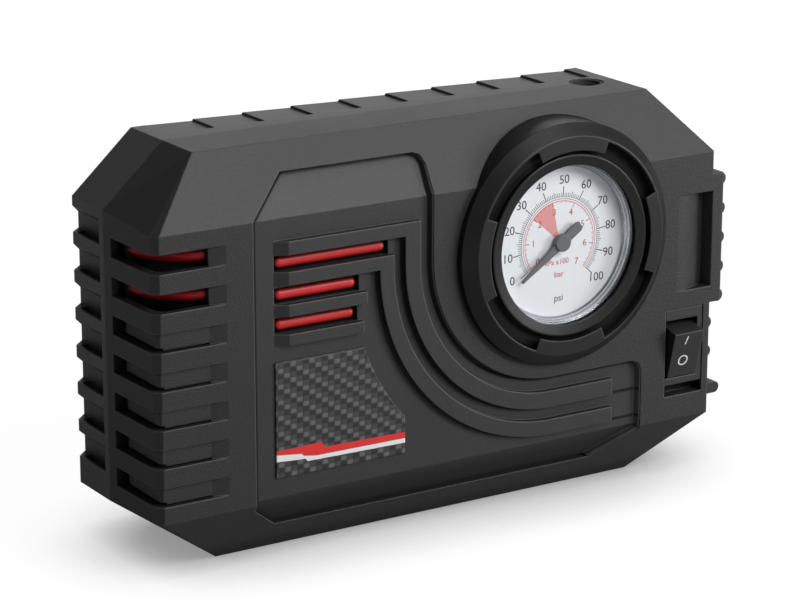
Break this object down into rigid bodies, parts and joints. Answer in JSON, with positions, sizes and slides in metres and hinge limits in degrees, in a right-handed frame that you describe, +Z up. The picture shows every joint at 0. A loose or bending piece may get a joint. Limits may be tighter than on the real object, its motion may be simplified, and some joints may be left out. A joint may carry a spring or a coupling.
{
  "type": "portable tire inflator",
  "caption": "Portable electric tire inflator: a flat bevelled black housing with a large round pressure gauge, a recessed panel with red louvres, a ribbed side grip and a rocker switch.",
  "frame": {"origin": "centre of the bounding box at the base", "axes": "+X to the right as seen from the front (long side), +Y from the front face with the gauge to the back, +Z up"},
  "size_m": [0.197, 0.0612, 0.119],
  "materials": {
    "shell_black": "fine matt texture",
    "panel_black": "fine matt texture",
    "red_trim": "glossy",
    "label_film": "satin film with a woven pattern and a plain red and white stripe",
    "trim_black": "satin",
    "bezel_black": "glossy",
    "clear_lens": "clear",
    "dial_white": "satin, with a printed scale",
    "needle_grey": "satin",
    "brass": "satin",
    "plated_steel": "satin",
    "switch_black": "satin",
    "magnet": "matt",
    "carbon": "matt",
    "copper": "enamelled copper wire",
    "cast_alloy": "as cast",
    "gear_plastic": "satin",
    "soft_black": "matt",
    "seal_ring": "satin",
    "gasket_fibre": "matt",
    "tube_grey": "satin",
    "lead_red": "satin"
  },
  "bodies": {
    "housing": {"front_shell": "shell_black", "rear_shell": "shell_black", "front_panel": "panel_black", "panel_louvre": "red_trim", "corner_louvre": "red_trim", "label_plate": "label_film", "case_screws": "plated_steel", "gauge_ring": "trim_black", "gauge_bezel": "bezel_black", "gauge_lens": "clear_lens", "gauge_dial": "dial_white", "gauge_case": "plated_steel", "movement_frame": "brass", "bourdon_tube": "brass", "gauge_stem": "brass", "switch_housing": "switch_black", "switch_terminals": "brass", "motor_can": "plated_steel", "motor_end_cap": "switch_black", "field_magnets": "magnet", "motor_bushes": "brass", "motor_brushes": "carbon", "motor_screws": "plated_steel", "motor_cushion": "soft_black", "gearbox_frame": "cast_alloy", "frame_cushions": "soft_black", "gear_axle": "plated_steel", "cylinder_barrel": "cast_alloy", "head_gasket": "gasket_fibre", "cylinder_head": "cast_alloy", "head_screws": "plated_steel", "valve_spring": "plated_steel", "air_tube": "tube_grey", "hose_tail": "brass", "hose_socket": "brass", "gauge_tube": "tube_grey", "hose_grommet": "soft_black", "cord_gland": "soft_black", "motor_leads": "lead_red"},
    "rocker": {"rocker": "switch_black"},
    "needle": {"gauge_needle": "needle_grey", "pointer_spindle": "brass"},
    "sector": {"sector_gear": "brass"},
    "armature": {"armature_core": "plated_steel", "armature_windings": "copper", "commutator": "copper", "motor_shaft": "plated_steel", "motor_pinion": "brass"},
    "gear": {"drive_gear": "gear_plastic", "gear_bush": "brass"},
    "piston": {"connecting_rod": "cast_alloy", "piston_seal": "seal_ring", "crank_screw": "plated_steel", "rod_bearing": "plated_steel"},
    "valve": {"valve_disc": "seal_ring"}
  },
  "joints": [
    {"name": "rocker_tilt", "type": "hinge", "parent": "housing", "child": "rocker", "pos_m": [0.0834, -0.0205, 0.0394], "axis": [-1, 0, 0], "range_deg": [0, 28]},
    {"name": "needle_turn", "type": "hinge", "parent": "housing", "child": "needle", "pos_m": [0.0375, -0.0254, 0.0791], "axis": [0, 1, 0], "range_deg": [0, 260], "stiffness_Nm_per_rad": 0.0001, "springref_deg": -34.38},
    {"name": "sector_turn", "type": "hinge", "parent": "housing", "child": "sector", "pos_m": [0.0375, -0.0204, 0.0686], "axis": [0, 1, 0], "range_deg": [-43.33, 0]},
    {"name": "armature_spin", "type": "hinge", "parent": "housing", "child": "armature", "pos_m": [-0.0477, 0.0046, 0.026], "axis": [1, 0, 0], "continuous": true},
    {"name": "gear_spin", "type": "hinge", "parent": "housing", "child": "gear", "pos_m": [-0.0177, 0.0046, 0.05], "axis": [1, 0, 0], "continuous": true},
    {"name": "piston_slide", "type": "slide", "parent": "housing", "child": "piston", "axis": [0, 0, 1], "range_m": [-0.012, 0]},
    {"name": "valve_lift", "type": "slide", "parent": "housing", "child": "valve", "axis": [0, 0, 1], "range_m": [0, 0.0012], "stiffness_N_per_m": 60, "springref_m": -0.002, "deforming": ["valve_spring"]}
  ],
  "couplings": [
    {"joint": "sector_turn", "follows": "needle_turn", "ratio": -0.16667},
    {"joint": "gear_spin", "follows": "armature_spin", "ratio": -0.25}
  ]
}
